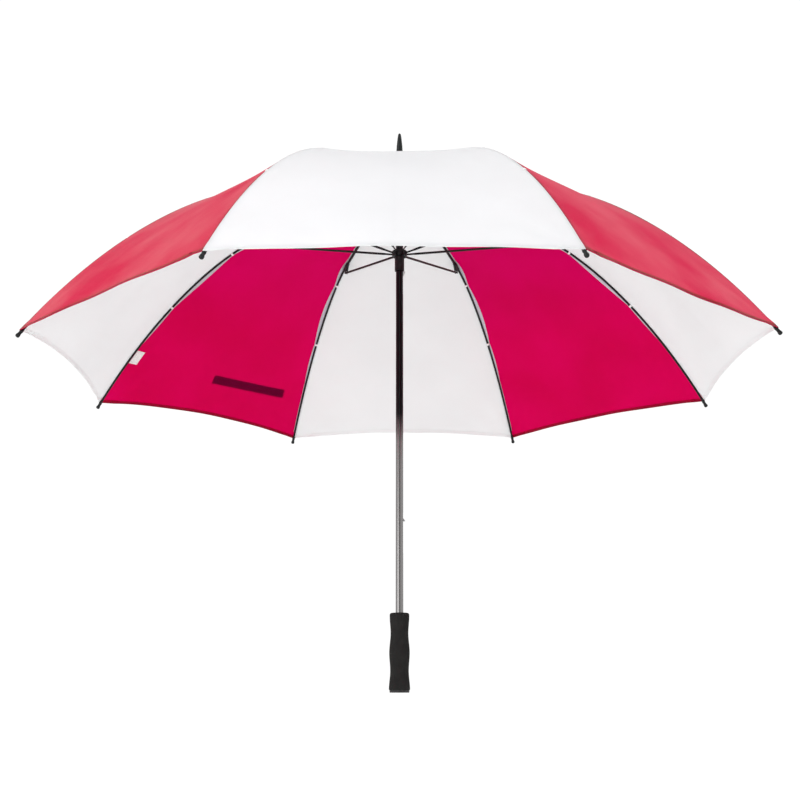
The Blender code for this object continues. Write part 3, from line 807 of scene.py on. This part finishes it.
def make_ties():
    """White thread that ties each seam to its rib at two places."""
    for rib in RIBS:
        shape = bmesh.new()
        out = out_direction(rib)
        for radius in TIE_RADII:
            share = share_at(radius)
            r, z, slope = along_rib(share)
            along = out * math.cos(slope) - Vector((0, 0, math.sin(slope)))
            up = out * math.sin(slope) + Vector((0, 0, math.cos(slope)))
            for turn in TIE_TURNS:
                centre = out * r + Vector((0, 0, z)) + along * turn * TIE_PITCH + up * 0.0003
                loop_of_thread(shape, centre, along, up)
        piece = to_object(f"thread_ties_{rib}", shape, [WHITE_THREAD])
        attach(piece, f"outer_{rib}")


def make_strap():
    """Fastening strap sewn to the outside of gore 6, near its hem."""
    sheet = Sheet(6)
    acrosses = spaced(*STRAP_ACROSSES, 48)
    grid = [[(share, across) for across in acrosses] for share in spaced(*STRAP_SHARES, 6)]
    sheet.patch(grid, *STRAP_LAYER, 0, 0)
    piece = sheet.finish("strap_band", [STRAP_TAPE])
    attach(piece, "outer_6")
    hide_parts("closing_strap")
    gather(piece)


def make_label():
    """Blank white tag caught in rib 7's seam, on the inside."""
    sheet = Sheet(6)
    acrosses = spaced(*LABEL_ACROSSES, 8)
    grid = [[(share, across) for across in acrosses] for share in spaced(*LABEL_SHARES, 10)]
    sheet.patch(grid, *LABEL_LAYER, 0, 0)
    piece = sheet.finish("seam_label", [LABEL_CLOTH])
    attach(piece, "outer_7")
    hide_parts("care_label")


def lathe(profile, segments):
    """Closed turned solid from (radius, z) points, bottom to top, with flat ends."""
    path = [Vector((0, 0, z)) for _, z in profile]
    shape = bmesh.new()
    rings = []
    for (radius, _), middle in zip(profile, path):
        ring = []
        for n in range(segments):
            angle = 2 * math.pi * n / segments
            offset = Vector((radius * math.cos(angle), radius * math.sin(angle), 0))
            ring.append(shape.verts.new(middle + offset))
        rings.append(ring)
    return skin(shape, rings)


def make_grip():
    """Foam grip with three swells, rounded at the top round the shaft."""
    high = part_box("grip")[1]
    first, last = GRIP_SWELLS
    bottom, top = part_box("grip_end_cap")[1].z, high.z - GRIP_ROUNDING
    profile = [(first - 0.0009, bottom), (first - 0.0002, bottom + 0.0008)]     # bevelled edge
    for share in spaced(0.02, 1.0, 60):
        wave = 0.5 - 0.5 * math.cos(4 * math.pi * share)
        radius = first + (last - first) * share - GRIP_WAIST_DEPTH * wave
        profile.append((radius, bottom + (top - bottom) * share))
    for k in range(1, 9):
        turn = math.pi / 2 * k / 8
        inset = GRIP_ROUNDING * (1 - math.cos(turn))
        profile.append((last - inset, top + GRIP_ROUNDING * math.sin(turn)))
    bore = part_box("shaft")[1].x + 0.0003
    profile += [(bore + 0.0010, high.z), (bore, high.z - 0.0010)]
    piece = to_object("foam_grip", lathe(profile, 72), [FOAM], 60)
    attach(piece, "frame")
    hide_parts("grip")


def dress_cad_nodes():
    """Materials of the CAD nodes that stay visible."""
    finishes = {
        "shaft": GUNMETAL_PAINTED_SHADE,
        "grip_end_cap": CAP_PLASTIC,
        "top_notch_wire": SPRING_STEEL,
        "top_spring_catch": SPRING_STEEL,
        "bottom_spring_catch": SPRING_STEEL,
    }
    for name, node in frame["nodes"].items():
        finish = finishes.get(name, BLACK_PLASTIC)
        if name.startswith("inner_rib"):
            finish = FIBREGLASS
        if name.startswith("stretcher"):
            finish = STRUT_PAINT
        node.data.materials.clear()
        node.data.materials.append(finish)


# ---------------------------------------------------------------- stage

FLOOR_Z = -0.30
WORLD_LEVEL = 0.76          # light from all round, with what is added towards +X, -Y and both sides
WORLD_RIGHT = 0.05
WORLD_FRONT = 0.18
WORLD_SIDES = 0.64
WORLD_STRIP = 0.10          # share of the light left in the dark strip at the front
BACKDROP_LEVEL = 1.05       # white behind the object, as the camera sees it


def world_math(tree, operation, *values):
    """A Math node fed by sockets or numbers, in order."""
    made = tree.nodes.new("ShaderNodeMath")
    made.operation = operation
    for slot, value in zip(made.inputs, values):
        if isinstance(value, float):
            slot.default_value = value
        else:
            tree.links.new(value, slot)
    return made.outputs["Value"]


def studio_level(tree):
    """Light from each direction: most from the left and right, with a dark strip at the front."""
    place = tree.nodes.new("ShaderNodeTexCoord")
    split = tree.nodes.new("ShaderNodeSeparateXYZ")
    tree.links.new(place.outputs["Generated"], split.inputs["Vector"])
    x, y = split.outputs["X"], split.outputs["Y"]
    sides = world_math(tree, "MULTIPLY", world_math(tree, "MULTIPLY", x, x), WORLD_SIDES)
    right = world_math(tree, "MULTIPLY_ADD", x, WORLD_RIGHT, WORLD_LEVEL)
    front = world_math(tree, "MULTIPLY_ADD", y, -WORLD_FRONT, right)
    level = world_math(tree, "ADD", sides, front)
    strip = world_math(tree, "MULTIPLY_ADD", world_math(tree, "ABSOLUTE", x), 3.6, -0.10)
    behind = world_math(tree, "MULTIPLY_ADD", y, 3.0, 0.8)
    lit = world_math(tree, "MAXIMUM", strip, behind)
    lit = world_math(tree, "MINIMUM", world_math(tree, "MAXIMUM", lit, WORLD_STRIP), 1.0)
    return world_math(tree, "MULTIPLY", level, lit)


def make_world():
    """White studio: soft light all round, and plain white as seen by the camera."""
    world = bpy.data.worlds.new("studio")
    bpy.context.scene.world = world
    world.use_nodes = True
    tree = world.node_tree
    nodes, links = tree.nodes, tree.links
    nodes.clear()
    soft = nodes.new("ShaderNodeBackground")
    links.new(studio_level(tree), soft.inputs["Strength"])
    plain = nodes.new("ShaderNodeBackground")
    plain.inputs["Strength"].default_value = BACKDROP_LEVEL
    rays = nodes.new("ShaderNodeLightPath")
    mix = nodes.new("ShaderNodeMixShader")
    output = nodes.new("ShaderNodeOutputWorld")
    for background in (soft, plain):
        background.inputs["Color"].default_value = (1.0, 1.0, 1.0, 1.0)
    links.new(rays.outputs["Is Camera Ray"], mix.inputs["Fac"])
    links.new(soft.outputs["Background"], mix.inputs[1])
    links.new(plain.outputs["Background"], mix.inputs[2])
    links.new(mix.outputs["Shader"], output.inputs["Surface"])


def area_light(name, place, target, size, power):
    data = bpy.data.lights.new(name, "AREA")
    data.shape = "DISK"
    data.size = size
    data.energy = power
    light = bpy.data.objects.new(name, data)
    light.location = place
    light.rotation_euler = (Vector(target) - Vector(place)).to_track_quat("-Z", "Y").to_euler()
    bpy.context.scene.collection.objects.link(light)


def make_stage():
    shape = bmesh.new()
    bmesh.ops.create_grid(shape, x_segments=1, y_segments=1, size=30)
    floor_paint = Shader("studio_floor", (0.93, 0.93, 0.93), 0.9)
    floor_paint.set(Emission_Color=(1.0, 1.0, 1.0, 1.0), Emission_Strength=0.30)
    floor = to_object("studio_floor", shape, [floor_paint.material])
    floor.location.z = FLOOR_Z
    area_light("key_light", (-1.8, -2.2, 2.6), target=(0, 0, 0.7), size=2.2, power=28)
    area_light("low_fill_light", (-1.6, -1.8, 0.05), target=(0.5, 0.2, 0.80), size=1.6, power=20)


def make_camera():
    """The photograph's viewing angle: at the grip's height, 2.07 m away, tilted up."""
    distance, height, side_step = 2.0654, 0.0036, 0.0017
    azimuth, pan = math.radians(0.66), 0.0004
    tilt = math.radians(13.54)
    data = bpy.data.cameras.new("camera")
    data.sensor_width = 36
    data.lens = 54.28
    camera = bpy.data.objects.new("camera", data)
    x, y = distance * math.sin(azimuth) + side_step, -distance * math.cos(azimuth)
    camera.location = (x, y, height)
    camera.rotation_euler = (math.pi / 2 + tilt, 0, azimuth + pan)
    bpy.context.scene.collection.objects.link(camera)
    bpy.context.scene.camera = camera
    bpy.context.scene.view_settings.view_transform = "Standard"


make_camera()
make_world()
make_stage()
dress_cad_nodes()
make_cloth()
make_seams()
make_outer_ribs()
make_joint_sleeves()
make_tips()
make_ties()
make_strap()
make_label()
make_grip()
